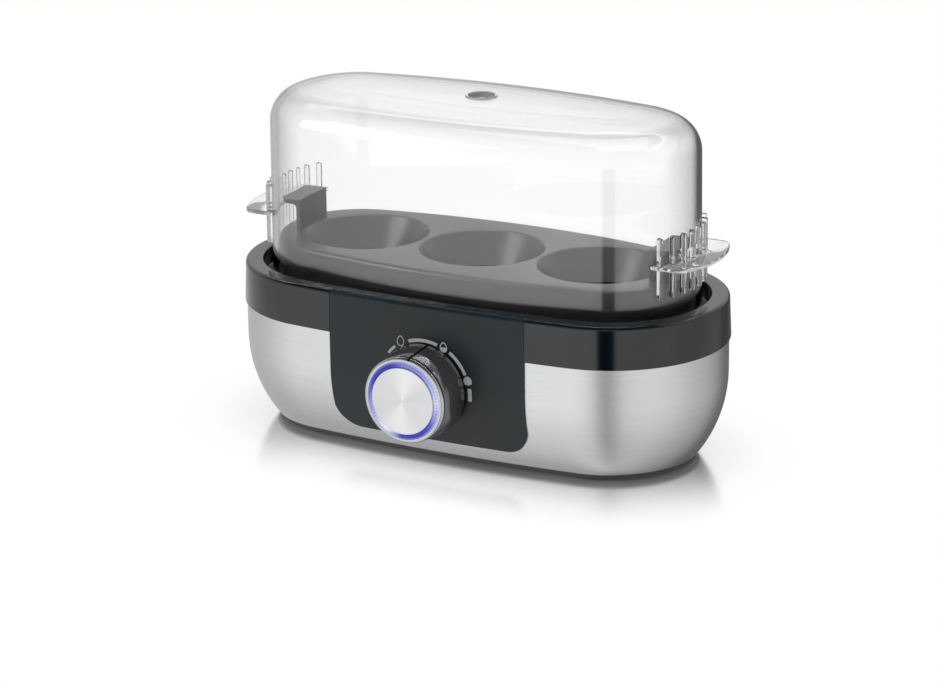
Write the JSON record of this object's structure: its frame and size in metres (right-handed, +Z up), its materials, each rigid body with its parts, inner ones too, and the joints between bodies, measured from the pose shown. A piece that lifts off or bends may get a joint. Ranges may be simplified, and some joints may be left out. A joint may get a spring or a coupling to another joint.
{
  "type": "electric egg cooker",
  "caption": "Counter-top egg cooker: oval steel bowl under a dark collar, lit control knob on a front panel, egg rack and clear lift-off hood with ribbed grip tabs.",
  "frame": {"origin": "on the table under the middle of the oval body", "axes": "+X along the body's length to the right seen from the front, +Y to the back, +Z up"},
  "size_m": [0.19, 0.1076, 0.1275],
  "materials": {
    "collar_plastic": "gloss",
    "steel": "brushed",
    "panel_plastic": "satin",
    "base_plastic": "matte",
    "foot_rubber": "matte",
    "fastener": "plain",
    "gasket": "matte",
    "pan_coating": "satin",
    "spreader": "plain",
    "element": "matte",
    "clip_steel": "plain",
    "black_plastic": "matte",
    "fuse_ceramic": "matte",
    "board": "satin",
    "pot_blue": "satin",
    "relay_blue": "gloss",
    "coil_yellow": "matte",
    "block_white": "matte",
    "lamp": "gloss",
    "pipe_clear": "clear",
    "lead_brown": "matte",
    "lead_blue": "matte",
    "lead_red": "matte",
    "lead_green": "matte",
    "knob_black": "gloss",
    "chrome": "polished",
    "blue_light": "glowing",
    "spun_aluminium": "spun",
    "shaft_metal": "plain",
    "white_plastic": "matte",
    "rack_grey": "satin",
    "clear_hood": "clear"
  },
  "bodies": {
    "base": {"base_plate": "base_plastic", "rubber_feet": "foot_rubber", "base_screws": "fastener", "steel_shell": "steel", "rim_collar": "collar_plastic", "front_panel": "panel_plastic", "pan_gasket": "gasket", "heating_pan": "pan_coating", "pan_clips": "clip_steel", "clip_screws": "fastener", "heat_spreader": "spreader", "heating_element": "element", "element_saddles": "spreader", "thermostat": "black_plastic", "thermostat_bracket": "clip_steel", "bracket_screws": "fastener", "thermal_fuse": "fuse_ceramic", "fuse_clip": "clip_steel", "circuit_board": "board", "board_screws": "fastener", "potentiometer": "pot_blue", "pot_nut": "fastener", "tact_switch": "black_plastic", "led_set": "lamp", "light_pipes": "pipe_clear", "relay": "relay_blue", "transformer": "coil_yellow", "buzzer": "black_plastic", "terminal_block": "block_white", "cord_gland": "black_plastic", "gland_nut": "black_plastic", "live_lead": "lead_brown", "neutral_lead": "lead_blue", "heater_lead": "lead_red", "link_lead": "lead_red", "earth_lead": "lead_green", "earth_tag": "clip_steel"},
    "rack": {"egg_rack": "rack_grey"},
    "lid": {"lid": "clear_hood"},
    "knob": {"knob_sleeve": "knob_black", "knob_chrome_ring": "chrome", "knob_light_ring": "blue_light", "knob_shaft": "shaft_metal"},
    "start_button": {"face_disc": "spun_aluminium", "button_plunger": "white_plastic"}
  },
  "joints": [
    {"name": "rack_lift", "type": "slide", "parent": "base", "child": "rack", "axis": [0, 0, 1], "range_m": [0, 0.09]},
    {"name": "lid_lift", "type": "slide", "parent": "rack", "child": "lid", "axis": [0, 0, 1], "range_m": [0, 0.12]},
    {"name": "knob_turn", "type": "hinge", "parent": "base", "child": "knob", "pos_m": [0, -0.05, 0.0301], "axis": [0, 1, 0], "range_deg": [-53, 82]},
    {"name": "start_press", "type": "slide", "parent": "knob", "child": "start_button", "axis": [0, 1, 0], "range_m": [0, 0.0012], "stiffness_N_per_m": 1200, "springref_m": -0.0005}
  ]
}
